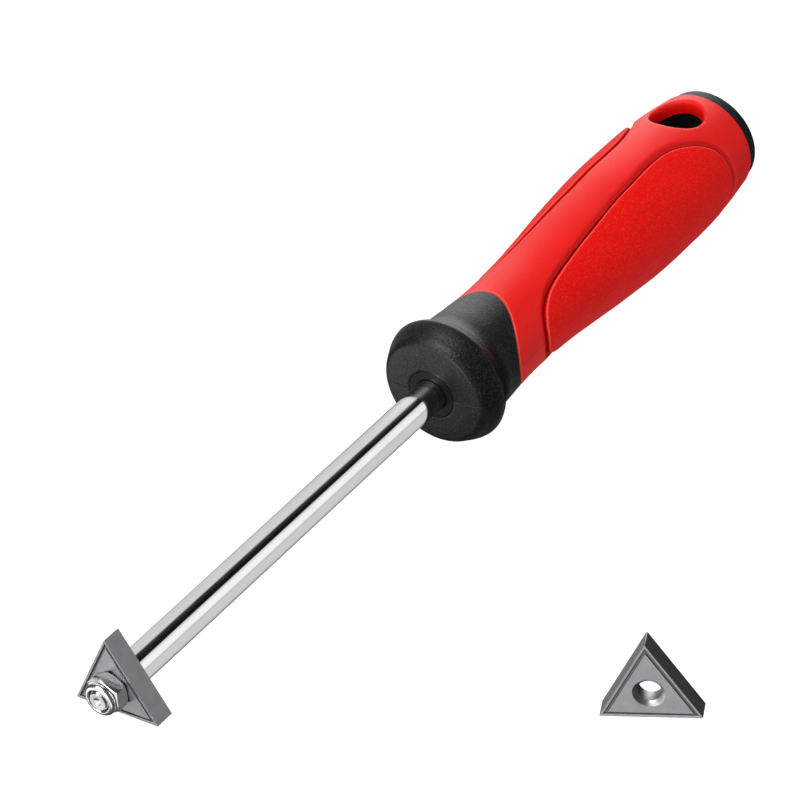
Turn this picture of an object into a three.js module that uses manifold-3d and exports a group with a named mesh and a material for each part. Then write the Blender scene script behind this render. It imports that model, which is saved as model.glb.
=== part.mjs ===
// Hand grout scraper with a triangular carbide insert, and a spare insert standing beside it.
// Millimetres. +X runs along the tool from the insert to the butt, +Z is up.
// The tool lies on its guard and on the belly of its grip.

import * as THREE from 'three';
import { mergeVertices } from 'three/addons/utils/BufferGeometryUtils.js';
import Module from 'manifold-3d';

const wasm = await Module();
wasm.setup();

// Carbide insert: an equilateral triangle with nearly sharp corners
const insertSide = 22;
const insertThickness = 4.76;
const insertCornerRadius = 0.2;
const insertHoleDiameter = 5.16;
const countersinkDiameter = 7;
const countersinkDepth = 0.9;
const edgeLandWidth = 0.5;
const chipGrooveWidth = 0.52;
const chipGrooveDepth = 0.25;
const chipGrooveBevel = 0.12;

// Shank: a round rod, turned down to an M5 stud in front of a shoulder
const shankDiameter = 7.8;
const shankReach = 112.8;
const shankChamfer = 0.5;
const studDiameter = 4.85;
const studReach = 5.2;
const studChamfer = 0.4;
const centreMarkDiameter = 1.5;
const centreMarkDepth = 0.8;
const wingSpan = 13;
const wingLength = 16;
const wingThickness = 2.4;
const wingSetback = 40;
const tailToHangHole = 11.1;

// Lock nut: M5, 8 mm across flats, with a rolled collar that holds a plastic ring
const nutAcrossFlats = 8;
const nutHexHeight = 3.5;
const nutHeight = 5;
const nutCornerChamfer = 0.55;
const nutCollarDiameter = 7.5;
const nutCollarRound = 0.45;
const nutMouthDiameter = 5.7;
const nutLipThickness = 0.35;
const ringOuterDiameter = 6.5;
const ringHeight = 1;

// Guard: a domed flange at the front of the handle
const guardDiameter = 31.4;
const guardLength = 8.3;
const guardWall = 3.2;
const noseDiameter = 12;

// Handle, from the guard's face to the butt
const handleLength = 121.6;
const bellyDiameter = 31.2;
const neckTongueReach = 22.05;
const neckTongueWave = 4.15;
const sleeveWall = 3.4;
const sleeveEdgeBevel = 0.3;
const coreNeckDiameter = 17;

// Side pads, each in a pocket of the grip with a groove around it
const padFrontSetback = 30.4;
const padRearSetback = 10.5;
const padPocketDepth = 2;
const padGrooveWidth = 1.2;
const padProud = 0.35;
const padEdgeRound = 0.4;

// Hang hole through the handle
const hangHoleDiameter = 12.6;
const hangHoleFromButt = 14.2;
const hangHoleRimRound = 0.7;

// End cap
const endCapLength = 3.6;
const endCapDiameter = 26.2;
const endCapRound = 0.8;
const spigotDiameter = 12;
const spigotLength = 1.2;

// Spare insert, standing on one of its sides beside the tool
const spareAlong = 61.1;
const spareAside = 93.1;
const spareYaw = THREE.MathUtils.degToRad(25);

// Clearances, and one overrun for every cut
const seatGap = 0.05;
const runningClearance = 0.09;
const mouldedClearance = 0.3;
const capGap = 0.1;
const overrun = 1;

const ringSides = 48;
const boreSides = 32;

// Outline of the neck and grip: [share of the handle's length, share of the belly's radius]
const gripOutlineShares = [
  [0.094, 0.846],
  [0.127, 0.82],
  [0.157, 0.8],
  [0.207, 0.778],
  [0.233, 0.772],
  [0.258, 0.773],
  [0.308, 0.779],
  [0.359, 0.798],
  [0.411, 0.835],
  [0.463, 0.876],
  [0.516, 0.918],
  [0.569, 0.952],
  [0.622, 0.983],
  [0.676, 0.998],
  [0.73, 1],
  [0.785, 0.997],
  [0.84, 0.984],
  [0.896, 0.953],
  [0.952, 0.896],
  [0.974, 0.872],
  [1, 0.82],
];

// Outline of the guard and of the hollow behind it: [share of the guard's length, share of its radius]
const guardOutlineShares = [
  [0.05, 0.62],
  [0.133, 0.774],
  [0.169, 0.818],
  [0.386, 0.905],
  [0.602, 0.97],
  [0.73, 1],
  [0.83, 1],
  [1, 0.972],
  [1.145, 0.898],
];

// Half width of a pad: [share of the pad's length, share of a quarter turn]
const padOutlineShares = [
  [0, 0],
  [0.004, 0.19],
  [0.03, 0.356],
  [0.082, 0.489],
  [0.147, 0.556],
  [0.232, 0.64],
  [0.308, 0.655],
  [0.455, 0.7],
  [0.532, 0.722],
  [0.7, 0.744],
  [0.78, 0.735],
  [0.835, 0.7],
  [0.913, 0.578],
  [0.969, 0.411],
  [0.988, 0.244],
  [0.997, 0.1],
  [1, 0],
];

// Places across a pad, from one edge to the other
const padAcrossShares = [-1, -0.96, -0.78, -0.52, -0.26, 0, 0.26, 0.52, 0.78, 0.96, 1];

// Places along the pieces, closer together where the outline bends
const padAlongShares = [0, 0.004, 0.03, 0.082, 0.15, 0.24, 0.34, 0.44, 0.54, 0.64, 0.74, 0.83, 0.9, 0.95, 0.985, 0.997, 1];
const neckAlongShares = [0, 0.3, 0.65, 1];
const sleeveAlongShares = [0.004, 0.07, 0.14, 0.2, 0.27, 0.34, 0.41, 0.48, 0.55, 0.62, 0.69, 0.76, 0.83, 0.89, 0.94, 0.99];
const sleeveInsideShares = [0.998, 0.9, 0.75, 0.55, 0.35, 0.15, 0.002];
const coreAlongShares = [0.2, 0.24, 0.31, 0.38, 0.46, 0.54, 0.62, 0.7, 0.78, 0.86, 0.93];

// Places along the tool that follow from the sizes
const insertInradius = insertSide / (2 * Math.sqrt(3));
const shoulderX = insertThickness + seatGap;
const guardFaceX = shoulderX + shankReach;
const buttX = guardFaceX + handleLength;
const neckX = guardFaceX + gripOutlineShares[0][0] * handleLength;
const bellyRadius = bellyDiameter / 2;
const guardRadius = guardDiameter / 2;
const shankRadius = shankDiameter / 2;
const studRadius = studDiameter / 2;
const sleeveEndX = buttX - endCapLength - capGap;
const padFrontX = guardFaceX + padFrontSetback;
const padLength = sleeveEndX - padRearSetback - padFrontX;
const hangHoleX = buttX - hangHoleFromButt;
const tailEndX = hangHoleX - hangHoleDiameter / 2 - tailToHangHole;
const flatShare = Math.cos(Math.PI / ringSides);
const axisHeight = Math.max(bellyRadius, guardRadius) * flatShare;

// Linear reading of a table of [place, value] pairs
function readTable(table, place) {
  for (let i = 1; i < table.length; i += 1) {
    const [x0, y0] = table[i - 1];
    const [x1, y1] = table[i];
    if (place <= x1) {
      return y0 + (y1 - y0) * Math.max(0, (place - x0) / (x1 - x0));
    }
  }
  return table[table.length - 1][1];
}

function gripRadius(x) {
  return bellyRadius * readTable(gripOutlineShares, (x - guardFaceX) / handleLength);
}

function coreRadius(x) {
  return Math.max(coreNeckDiameter / 2, gripRadius(x) - sleeveWall - mouldedClearance);
}

// Under the neck the core keeps the radius that it has at the tongues' ends
function coreNeckRadius() {
  return coreRadius(guardFaceX + coreAlongShares[0] * handleLength);
}

// The black neck ends in two tongues, at the top and at the bottom
function neckEndX(angle) {
  return guardFaceX + neckTongueReach + neckTongueWave * Math.cos(2 * angle);
}

// Angles run round the axis from the top, with a flat of the ring at the top and at the bottom
function ringAngle(step, sides = ringSides) {
  return ((step + 0.5) / sides) * 2 * Math.PI;
}

function onRing(x, radius, angle) {
  return new THREE.Vector3(x, -radius * Math.sin(angle), radius * Math.cos(angle));
}

// A geometry from points and triangles, with shared points merged and its faces turned outwards
function closedGeometry(points, triangles) {
  const raw = new THREE.BufferGeometry();
  raw.setAttribute('position', new THREE.Float32BufferAttribute(points.flatMap((p) => p.toArray()), 3));
  raw.setIndex(triangles);
  const merged = mergeVertices(raw, 1e-4);
  const place = merged.attributes.position;
  const a = new THREE.Vector3();
  const b = new THREE.Vector3();
  const c = new THREE.Vector3();
  const kept = [];
  let volume = 0;
  for (let i = 0; i < merged.index.count; i += 3) {
    const corners = [merged.index.getX(i), merged.index.getX(i + 1), merged.index.getX(i + 2)];
    if (new Set(corners).size === 3) {
      kept.push(corners);
      a.fromBufferAttribute(place, corners[0]);
      b.fromBufferAttribute(place, corners[1]);
      c.fromBufferAttribute(place, corners[2]);
      volume += a.dot(b.cross(c));
    }
  }
  const facing = volume < 0 ? kept.map((corners) => corners.reverse()) : kept;
  merged.setIndex(facing.flat());
  return merged;
}

// A closed skin through a row of loops, the last joined to the first
function loftLoops(loops) {
  const count = loops[0].length;
  const triangles = [];
  loops.forEach((loop, row) => {
    const next = (row + 1) % loops.length;
    for (let k = 0; k < count; k += 1) {
      const right = (k + 1) % count;
      const here = row * count;
      const there = next * count;
      triangles.push(here + k, here + right, there + right);
      triangles.push(here + k, there + right, there + k);
    }
  });
  return closedGeometry(loops.flat(), triangles);
}

// A closed plate between two grids of points of the same size
function plateBetween(top, bottom) {
  const rows = top.length;
  const columns = top[0].length;
  const triangles = [];
  const at = (layer, row, column) => (layer * rows + row) * columns + column;
  const quad = (a, b, c, d) => triangles.push(a, b, c, a, c, d);
  for (let row = 0; row < rows - 1; row += 1) {
    for (let column = 0; column < columns - 1; column += 1) {
      quad(at(0, row, column), at(0, row, column + 1), at(0, row + 1, column + 1), at(0, row + 1, column));
      quad(at(1, row, column), at(1, row + 1, column), at(1, row + 1, column + 1), at(1, row, column + 1));
    }
    quad(at(0, row, 0), at(0, row + 1, 0), at(1, row + 1, 0), at(1, row, 0));
    const last = columns - 1;
    quad(at(0, row, last), at(1, row, last), at(1, row + 1, last), at(0, row + 1, last));
  }
  return closedGeometry([...top.flat(), ...bottom.flat()], triangles);
}

// A turned piece round the tool's axis, from [x, radius] pairs
function turned(profile, sides = ringSides, firstCorner = Math.PI / sides) {
  const points = profile.map(([x, radius]) => new THREE.Vector2(radius, x));
  const geometry = new THREE.LatheGeometry(points, sides, firstCorner);
  geometry.rotateZ(-Math.PI / 2);
  return geometry;
}

function toSolid(geometry) {
  const bare = geometry.clone();
  bare.deleteAttribute('normal');
  bare.deleteAttribute('uv');
  const merged = mergeVertices(bare, 1e-4);
  const place = merged.attributes.position;
  const points = Array.from({ length: place.count }, (_, i) => new THREE.Vector3().fromBufferAttribute(place, i));
  const closed = closedGeometry(points, Array.from(merged.index.array));
  return new wasm.Manifold(new wasm.Mesh({
    numProp: 3,
    vertProperties: new Float32Array(closed.attributes.position.array),
    triVerts: new Uint32Array(closed.index.array),
  }));
}

function toGeometry(solid) {
  const mesh = solid.getMesh();
  const geometry = new THREE.BufferGeometry();
  geometry.setAttribute('position', new THREE.BufferAttribute(new Float32Array(mesh.vertProperties), 3));
  geometry.setIndex(Array.from(mesh.triVerts));
  return geometry;
}

// Corner-up triangle in the plane x, its corners rounded
function triangleLoop(x, inradius, cornerRadius) {
  const cornerSteps = 3;
  const loop = [];
  for (let corner = 0; corner < 3; corner += 1) {
    const towards = (corner * 2 * Math.PI) / 3;
    const centre = onRing(x, 2 * (inradius - cornerRadius), towards);
    for (let step = 0; step <= cornerSteps; step += 1) {
      const turn = towards + (step / cornerSteps - 0.5) * ((2 * Math.PI) / 3);
      loop.push(centre.clone().add(onRing(0, cornerRadius, turn)));
    }
  }
  return loop;
}

// The chip groove runs round a face just inside the cutting edges
function chipGroove(faceX, outwards) {
  const outerInradius = insertInradius - edgeLandWidth;
  const innerInradius = outerInradius - chipGrooveWidth;
  const aboveX = faceX + outwards * overrun;
  const floorX = faceX - outwards * chipGrooveDepth;
  const cornerRadius = insertCornerRadius / 2;
  return toSolid(loftLoops([
    triangleLoop(aboveX, outerInradius, cornerRadius),
    triangleLoop(faceX, outerInradius, cornerRadius),
    triangleLoop(floorX, outerInradius - chipGrooveBevel, cornerRadius),
    triangleLoop(floorX, innerInradius + chipGrooveBevel, cornerRadius),
    triangleLoop(faceX, innerInradius, cornerRadius),
    triangleLoop(aboveX, innerInradius, cornerRadius),
  ]));
}

function countersink(faceX, outwards) {
  const holeRadius = insertHoleDiameter / 2;
  const sinkRadius = countersinkDiameter / 2;
  return toSolid(turned([
    [faceX - outwards * countersinkDepth, 0],
    [faceX - outwards * countersinkDepth, holeRadius],
    [faceX, sinkRadius],
    [faceX + outwards * overrun, sinkRadius],
    [faceX + outwards * overrun, 0],
  ], boreSides));
}

function insertGeometry() {
  const outline = triangleLoop(0, insertInradius, insertCornerRadius);
  const shape = new THREE.Shape(outline.map((p) => new THREE.Vector2(p.y, p.z)));
  const blank = new THREE.ExtrudeGeometry(shape, { depth: insertThickness, bevelEnabled: false });
  const upright = new THREE.Matrix4().makeBasis(
    new THREE.Vector3(0, 1, 0),
    new THREE.Vector3(0, 0, 1),
    new THREE.Vector3(1, 0, 0),
  );
  blank.applyMatrix4(upright);
  const hole = toSolid(turned([
    [-overrun, 0],
    [-overrun, insertHoleDiameter / 2],
    [insertThickness + overrun, insertHoleDiameter / 2],
    [insertThickness + overrun, 0],
  ], boreSides));
  const solid = toSolid(blank)
    .subtract(hole)
    .subtract(countersink(0, -1))
    .subtract(countersink(insertThickness, 1))
    .subtract(chipGroove(0, -1))
    .subtract(chipGroove(insertThickness, 1));
  return toGeometry(solid);
}

// The rod's two wings keep it from turning in the core
function wings(clearance) {
  const span = wingSpan + 2 * clearance;
  const length = wingLength + 2 * clearance;
  const thickness = wingThickness + 2 * clearance;
  const box = new THREE.BoxGeometry(length, span, thickness);
  box.translate(guardFaceX + wingSetback + wingLength / 2, 0, 0);
  return toSolid(box);
}

function shankGeometry() {
  const markRadius = centreMarkDiameter / 2;
  const rod = toSolid(turned([
    [-studReach + centreMarkDepth, 0],
    [-studReach, markRadius],
    [-studReach, studRadius - studChamfer],
    [-studReach + studChamfer, studRadius],
    [shoulderX, studRadius],
    [shoulderX, shankRadius - shankChamfer],
    [shoulderX + shankChamfer, shankRadius],
    [tailEndX - shankChamfer, shankRadius],
    [tailEndX, shankRadius - shankChamfer],
    [tailEndX, 0],
  ], boreSides));
  return toGeometry(rod.add(wings(0)));
}

function lockNutGeometry() {
  const flatRadius = nutAcrossFlats / 2;
  const cornerRadius = flatRadius / Math.cos(Math.PI / 6);
  const boreRadius = studRadius + runningClearance;
  const collarRadius = nutCollarDiameter / 2;
  const seatX = -seatGap;
  const hexEndX = seatX - nutHexHeight;
  const frontX = seatX - nutHeight;
  const hex = toSolid(turned([
    [hexEndX, 0],
    [hexEndX, cornerRadius],
    [seatX, cornerRadius],
    [seatX, 0],
  ], 6, 0));
  const chamfers = toSolid(turned([
    [hexEndX, 0],
    [hexEndX, cornerRadius - nutCornerChamfer],
    [hexEndX + nutCornerChamfer / 2, cornerRadius],
    [seatX - nutCornerChamfer / 2, cornerRadius],
    [seatX, cornerRadius - nutCornerChamfer],
    [seatX, 0],
  ]));
  const collar = toSolid(turned([
    [hexEndX + overrun, 0],
    [hexEndX + overrun, collarRadius],
    [frontX + nutCollarRound, collarRadius],
    [frontX, collarRadius - nutCollarRound],
    [frontX, 0],
  ], boreSides));
  const bore = toSolid(turned([
    [frontX - overrun, 0],
    [frontX - overrun, boreRadius],
    [seatX + overrun, boreRadius],
    [seatX + overrun, 0],
  ], boreSides));
  const ringRoom = toSolid(turned([
    [frontX - overrun, 0],
    [frontX - overrun, nutMouthDiameter / 2],
    [frontX + nutLipThickness, nutMouthDiameter / 2],
    [frontX + nutLipThickness, ringOuterDiameter / 2 + runningClearance],
    [frontX + nutLipThickness + ringHeight + 2 * seatGap, ringOuterDiameter / 2 + runningClearance],
    [frontX + nutLipThickness + ringHeight + 2 * seatGap, 0],
  ], boreSides));
  return toGeometry(hex.intersect(chamfers).add(collar).subtract(bore).subtract(ringRoom));
}

function lockRingGeometry() {
  const frontX = -seatGap - nutHeight + nutLipThickness + seatGap;
  const backX = frontX + ringHeight;
  const boreRadius = studRadius + runningClearance;
  return toGeometry(toSolid(turned([
    [frontX, boreRadius],
    [backX, boreRadius],
    [backX, ringOuterDiameter / 2],
    [frontX, ringOuterDiameter / 2],
    [frontX, boreRadius],
  ], boreSides)));
}

function guardGeometry() {
  const noseHoleRadius = noseDiameter / 2 + mouldedClearance;
  const boreRadius = coreNeckRadius() + mouldedClearance;
  const stepX = guardFaceX + guardWall;
  const ring = (place, radius) => Array.from({ length: ringSides }, (_, k) => {
    const angle = ringAngle(k);
    return onRing(typeof place === 'function' ? place(angle) : place, radius, angle);
  });
  const loops = [ring(guardFaceX, noseHoleRadius)];
  guardOutlineShares.forEach(([along, out]) => {
    loops.push(ring(guardFaceX + along * guardLength, out * guardRadius));
  });
  const endX = (angle) => neckEndX(angle) - mouldedClearance / 2;
  neckAlongShares.forEach((share) => {
    loops.push(Array.from({ length: ringSides }, (_, k) => {
      const angle = ringAngle(k);
      const x = neckX + (endX(angle) - neckX) * share;
      return onRing(x, gripRadius(x), angle);
    }));
  });
  loops.push(ring(endX, boreRadius));
  loops.push(ring(stepX, boreRadius));
  loops.push(ring(stepX, noseHoleRadius));
  return loftLoops(loops);
}

function coreGeometry() {
  const boreRadius = shankRadius + runningClearance;
  const noseRadius = noseDiameter / 2;
  const stepX = guardFaceX + guardWall + mouldedClearance;
  const socketX = sleeveEndX - spigotLength - capGap;
  const profile = [
    [tailEndX + mouldedClearance, 0],
    [tailEndX + mouldedClearance, boreRadius],
    [guardFaceX, boreRadius],
    [guardFaceX, noseRadius],
    [stepX, noseRadius],
    [stepX, coreNeckRadius()],
  ];
  coreAlongShares.forEach((share) => {
    const x = guardFaceX + share * handleLength;
    profile.push([x, coreRadius(x)]);
  });
  profile.push([sleeveEndX, coreRadius(sleeveEndX)]);
  profile.push([sleeveEndX, spigotDiameter / 2 + capGap]);
  profile.push([socketX, spigotDiameter / 2 + capGap]);
  profile.push([socketX, 0]);
  const solid = toSolid(turned(profile))
    .subtract(wings(mouldedClearance))
    .subtract(hangHole());
  return toGeometry(solid);
}

// The hang hole opens a little at both rims
function hangHole() {
  const radius = hangHoleDiameter / 2;
  const surface = gripRadius(hangHoleX);
  const straight = surface - 2 * hangHoleRimRound;
  const profile = [
    [-surface - overrun, 0],
    [-surface - overrun, radius + 2 * hangHoleRimRound],
    [-surface, radius + hangHoleRimRound],
    [-straight, radius],
    [straight, radius],
    [surface, radius + hangHoleRimRound],
    [surface + overrun, radius + 2 * hangHoleRimRound],
    [surface + overrun, 0],
  ];
  const geometry = turned(profile, boreSides);
  geometry.rotateY(-Math.PI / 2);
  geometry.translate(hangHoleX, 0, 0);
  return toSolid(geometry);
}

// Half the angle that a pad spans at x, drawn in or let out by a margin along its surface
function padHalfAngle(share, x, margin) {
  const half = readTable(padOutlineShares, share) * (Math.PI / 2);
  const widest = Math.max(...padOutlineShares.map(([, wide]) => wide)) * (Math.PI / 2);
  return half * (1 + margin / (gripRadius(x) * widest));
}

// Points over a pad: margin widens the outline, and depth(across) lies under the grip's surface
function padGrid(margin, depth, side) {
  return padAlongShares.map((share) => {
    const x = padFrontX - margin + share * (padLength + 2 * margin);
    const half = padHalfAngle(share, x, margin);
    return padAcrossShares.map((across) => {
      const angle = side * (Math.PI / 2 + across * half);
      return onRing(x, gripRadius(x) - depth(across), angle);
    });
  });
}

function padPocket(side) {
  const margin = padGrooveWidth / 2;
  const outside = padGrid(margin, () => -overrun, side);
  const inside = padGrid(margin, () => padPocketDepth, side);
  return toSolid(plateBetween(outside, inside));
}

function padGeometry(side) {
  const margin = -padGrooveWidth / 2;
  const surface = (across) => (Math.abs(across) === 1 ? padEdgeRound - padProud : -padProud);
  const outside = padGrid(margin, surface, side);
  const inside = padGrid(margin, () => padPocketDepth - mouldedClearance, side);
  return plateBetween(outside, inside);
}

function sleeveGeometry() {
  const startX = (angle) => neckEndX(angle) + mouldedClearance / 2;
  const row = (share, radiusAt) => Array.from({ length: ringSides }, (_, k) => {
    const angle = ringAngle(k);
    const x = startX(angle) + (sleeveEndX - startX(angle)) * share;
    return onRing(x, radiusAt(x), angle);
  });
  const loops = [row(0, (x) => gripRadius(x) - sleeveEdgeBevel)];
  sleeveAlongShares.forEach((share) => {
    loops.push(row(share, gripRadius));
  });
  loops.push(row(1, (x) => gripRadius(x) - sleeveEdgeBevel));
  loops.push(row(1, (x) => coreRadius(x) + mouldedClearance));
  sleeveInsideShares.forEach((share) => {
    loops.push(row(share, (x) => coreRadius(x) + mouldedClearance));
  });
  loops.push(row(0, (x) => coreRadius(x) + mouldedClearance));
  const solid = toSolid(loftLoops(loops))
    .subtract(padPocket(1))
    .subtract(padPocket(-1))
    .subtract(hangHole());
  return toGeometry(solid);
}

function endCapGeometry() {
  const radius = endCapDiameter / 2;
  const frontX = buttX - endCapLength;
  return toGeometry(toSolid(turned([
    [frontX - spigotLength, 0],
    [frontX - spigotLength, spigotDiameter / 2],
    [frontX, spigotDiameter / 2],
    [frontX, radius],
    [buttX - endCapRound, radius - endCapRound / 4],
    [buttX, radius - endCapRound],
    [buttX, 0],
  ])));
}

function piece(name, geometry, material) {
  geometry.computeVertexNormals();
  const mesh = new THREE.Mesh(geometry, material);
  mesh.name = name;
  return mesh;
}

const plating = new THREE.MeshStandardMaterial({ color: '#dcdde0', roughness: 0.12, metalness: 1 });
const carbide = new THREE.MeshStandardMaterial({ color: '#858789', roughness: 0.5, metalness: 0.7 });
const spareCarbide = carbide.clone();
const zinc = new THREE.MeshStandardMaterial({ color: '#d5d7d8', roughness: 0.2, metalness: 1 });
const nylon = new THREE.MeshStandardMaterial({ color: '#23262b', roughness: 0.5, metalness: 0 });
const blackPlastic = new THREE.MeshStandardMaterial({ color: '#1d1e20', roughness: 0.55, metalness: 0 });
const corePlastic = new THREE.MeshStandardMaterial({ color: '#151516', roughness: 0.6, metalness: 0 });
const redGrip = new THREE.MeshStandardMaterial({ color: '#d91a14', roughness: 0.5, metalness: 0 });
const redPad = new THREE.MeshStandardMaterial({ color: '#c91813', roughness: 0.7, metalness: 0 });
const redPadOther = redPad.clone();
const capPlastic = new THREE.MeshStandardMaterial({ color: '#23282d', roughness: 0.45, metalness: 0 });

// The frame's origin is under the middle of everything, on the table
const insertHalfWide = 2 * (insertInradius - insertCornerRadius) * Math.sin(Math.PI / 3) + insertCornerRadius;
const spareHalfWide = insertHalfWide * Math.cos(spareYaw) + (insertThickness / 2) * Math.sin(spareYaw);
const middleX = (buttX - studReach) / 2;
const handleHalfWide = Math.max(guardRadius * flatShare, bellyRadius + padProud);
const middleY = (handleHalfWide - spareAside - spareHalfWide) / 2;

const tool = new THREE.Group();
tool.position.set(-middleX, -middleY, axisHeight);
tool.add(piece('shank', shankGeometry(), plating));
tool.add(piece('carbide_insert', insertGeometry(), carbide));
tool.add(piece('lock_nut', lockNutGeometry(), zinc));
tool.add(piece('lock_ring', lockRingGeometry(), nylon));
tool.add(piece('front_guard', guardGeometry(), blackPlastic));
tool.add(piece('handle_core', coreGeometry(), corePlastic));
tool.add(piece('grip_sleeve', sleeveGeometry(), redGrip));
tool.add(piece('left_grip_pad', padGeometry(-1), redPad));
tool.add(piece('right_grip_pad', padGeometry(1), redPadOther));
tool.add(piece('end_cap', endCapGeometry(), capPlastic));

const spare = piece('spare_insert', insertGeometry(), spareCarbide);
spare.geometry.translate(-insertThickness / 2, 0, insertInradius);
spare.position.set(spareAlong - middleX, -spareAside - middleY, 0);
spare.rotation.z = spareYaw;

const scraper = new THREE.Group();
scraper.add(tool);
scraper.add(spare);

export default scraper;
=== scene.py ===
from bisect import bisect_left
from math import atan2, cos, hypot, pi, radians, sin, sqrt, tan

import bpy
from mathutils import Matrix, Vector


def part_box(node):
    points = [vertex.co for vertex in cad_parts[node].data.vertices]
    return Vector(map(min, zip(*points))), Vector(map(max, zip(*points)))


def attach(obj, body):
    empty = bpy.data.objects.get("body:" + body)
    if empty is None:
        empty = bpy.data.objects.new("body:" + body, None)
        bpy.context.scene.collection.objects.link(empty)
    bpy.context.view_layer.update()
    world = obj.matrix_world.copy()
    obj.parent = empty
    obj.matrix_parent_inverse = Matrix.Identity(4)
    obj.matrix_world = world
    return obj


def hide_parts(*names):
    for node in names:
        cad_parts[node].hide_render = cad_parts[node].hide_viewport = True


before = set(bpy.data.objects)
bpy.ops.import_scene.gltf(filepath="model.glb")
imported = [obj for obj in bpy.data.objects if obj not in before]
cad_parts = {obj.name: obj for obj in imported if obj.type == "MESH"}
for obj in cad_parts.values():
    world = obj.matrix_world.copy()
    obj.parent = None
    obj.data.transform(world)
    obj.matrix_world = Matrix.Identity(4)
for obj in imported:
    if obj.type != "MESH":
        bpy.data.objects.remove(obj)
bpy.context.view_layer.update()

mm = 0.001
touch = 0.01 * mm  # how far two faces stand apart where they mustn't fall together
cutPast = 1 * mm  # how far a cutter reaches past what it cuts
mergeWithin = 0.002 * mm
sides = {"small": 96, "rod": 128, "handle": 160}  # of the round pieces

# where the tool's own axis lies: x = 0 is the insert's front face
nutLow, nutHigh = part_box("lock_nut")
toolLine = {
    "startX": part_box("carbide_insert")[0].x,
    "y": (nutLow.y + nutHigh.y) / 2,
    "z": (nutLow.z + nutHigh.z) / 2,
}


def onTool(x, radius, angle):
    # angle runs round the axis from the top, towards -Y
    return Vector((
        toolLine["startX"] + x,
        toolLine["y"] - radius * sin(angle),
        toolLine["z"] + radius * cos(angle),
    ))


def placeOf(point):
    # the (x, radius, angle) of a point
    aside, up = toolLine["y"] - point.y, point.z - toolLine["z"]
    return point.x - toolLine["startX"], hypot(aside, up), atan2(aside, up)


def smoothStep(share):
    share = min(1, max(0, share))
    return share * share * (3 - 2 * share)


def evenSteps(start, end, count):
    return [start + (end - start) * step / count for step in range(count + 1)]


# small helpers for modelling

def setMode(mode):
    bpy.ops.object.mode_set(mode=mode)


def deselectAll():
    if bpy.context.object and bpy.context.object.mode != "OBJECT":
        setMode("OBJECT")
    bpy.ops.object.select_all(action="DESELECT")


def makeActive(piece):
    deselectAll()
    piece.select_set(True)
    bpy.context.view_layer.objects.active = piece


def applyModifier(piece, kind, **settings):
    makeActive(piece)
    bpy.ops.object.modifier_add(type=kind)
    modifier = piece.modifiers[-1]
    for name, value in settings.items():
        setattr(modifier, name, value)
    bpy.ops.object.modifier_apply(modifier=modifier.name)


def editSelected(piece, kind, test):
    # opens edit mode with only the faces or edges that pass the test selected
    makeActive(piece)
    setMode("EDIT")
    bpy.ops.mesh.select_mode(type=kind)
    bpy.ops.mesh.select_all(action="DESELECT")
    setMode("OBJECT")
    for part in piece.data.polygons if kind == "FACE" else piece.data.edges:
        part.select = test(part)
    setMode("EDIT")


def combine(piece, tool, operation="DIFFERENCE"):
    applyModifier(piece, "BOOLEAN", operation=operation, object=tool, solver="EXACT")
    bpy.data.objects.remove(tool, do_unlink=True)


def roundEdges(piece, width, sharperThan):
    applyModifier(
        piece, "BEVEL", width=width, segments=2, limit_method="ANGLE", angle_limit=radians(sharperThan),
    )


def setInPlace(piece):
    makeActive(piece)
    bpy.ops.object.transform_apply(location=True, rotation=True, scale=True)


def drawnLine(points, fineness=10):
    # a line with automatic handles through the points, read back as fine steps
    curve = bpy.data.curves.new("outline", "CURVE")
    curve.dimensions = "3D"
    curve.resolution_u = fineness
    spline = curve.splines.new("BEZIER")
    spline.bezier_points.add(len(points) - 1)
    for handle, (x, y) in zip(spline.bezier_points, points):
        handle.co = (x, y, 0)
        handle.handle_left_type = handle.handle_right_type = "AUTO"
    helper = bpy.data.objects.new("outline", curve)
    bpy.context.scene.collection.objects.link(helper)
    bpy.context.view_layer.update()
    drawn = [(v.co.x, v.co.y) for v in helper.to_mesh().vertices]
    bpy.data.objects.remove(helper, do_unlink=True)
    return drawn


def readLine(line, place):
    # the height of a drawn line at a place along it
    index = min(max(1, bisect_left(line, (place, 0))), len(line) - 1)
    (x0, y0), (x1, y1) = line[index - 1], line[index]
    return y0 + (y1 - y0) * min(1, max(0, (place - x0) / (x1 - x0)))


def rounded(corner, before, after, radius, steps=5):
    # the points of a fillet at a corner of a profile
    corner, before, after = (Vector(p) for p in (corner, before, after))
    toBefore, toAfter = (before - corner).normalized(), (after - corner).normalized()
    half = toBefore.angle(toAfter) / 2
    reach = radius / tan(half)
    centre = corner + (toBefore + toAfter).normalized() * (radius / sin(half))
    start, end = corner + toBefore * reach, corner + toAfter * reach
    points = []
    for share in evenSteps(0, 1, steps):
        towards = ((start - centre) * (1 - share) + (end - centre) * share).normalized()
        points.append(tuple(centre + towards * radius))
    return points


def withFillets(profile, radii):
    # the same profile with the corners named in radii rounded
    points = []
    for index, point in enumerate(profile):
        if index in radii:
            points += rounded(point, profile[index - 1], profile[index + 1], radii[index])
        else:
            points.append(point)
    return points


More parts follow.
